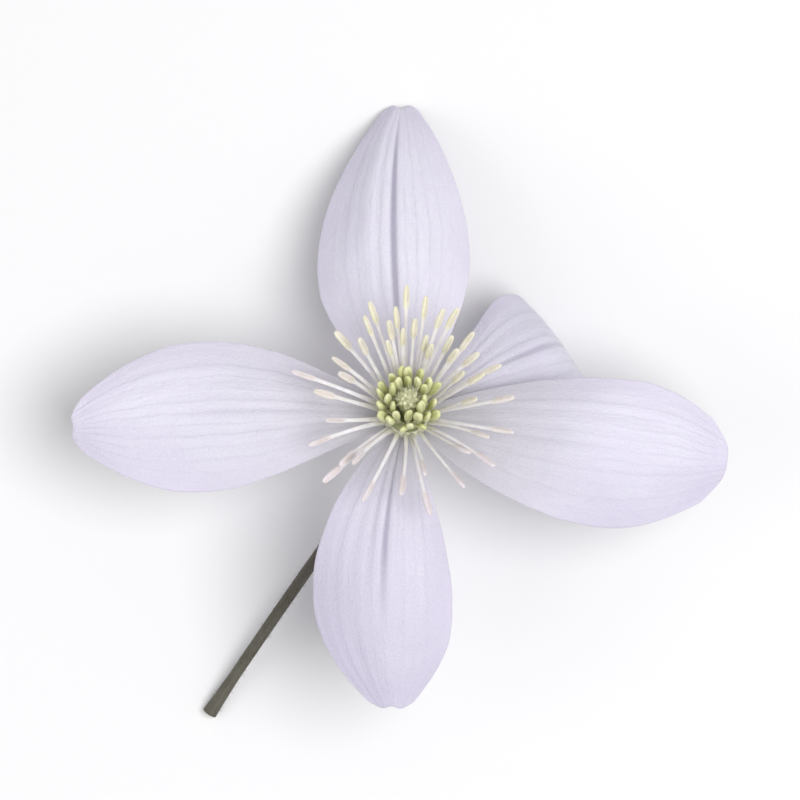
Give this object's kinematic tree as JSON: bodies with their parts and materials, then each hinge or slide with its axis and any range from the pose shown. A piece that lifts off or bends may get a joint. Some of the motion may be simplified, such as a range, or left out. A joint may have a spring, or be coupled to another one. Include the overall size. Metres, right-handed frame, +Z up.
{
  "type": "clematis flower",
  "caption": "Open white flower with broad spreading petal-like sepals, one folded back, a fringe of pale stamens round a tight green core, and a thin bent stalk, lying face up.",
  "frame": {"origin": "on the surface that the flower lies on, under the centre of its bounding box", "axes": "+Z up off the surface and roughly along the flower's axis, +Y towards the top sepal, +X towards the right sepal"},
  "size_m": [0.0638, 0.0604, 0.0252],
  "materials": {
    "stalk": "matt, finely downy, maroon at the flower and olive brown further down",
    "sepal": "satin, slightly translucent, white with a lilac tint and fine lengthwise veins",
    "stamen_outer": "matt, white filaments with cream anthers",
    "stamen_inner": "matt, yellow green",
    "pistil": "silky, green"
  },
  "bodies": {
    "root": {"stalk": "stalk", "sepal_top": "sepal", "sepal_left": "sepal", "sepal_bottom": "sepal", "sepal_right": "sepal", "sepal_curled": "sepal", "stamens_outer": "stamen_outer", "stamens_inner": "stamen_inner", "pistil": "pistil"}
  },
  "joints": []
}
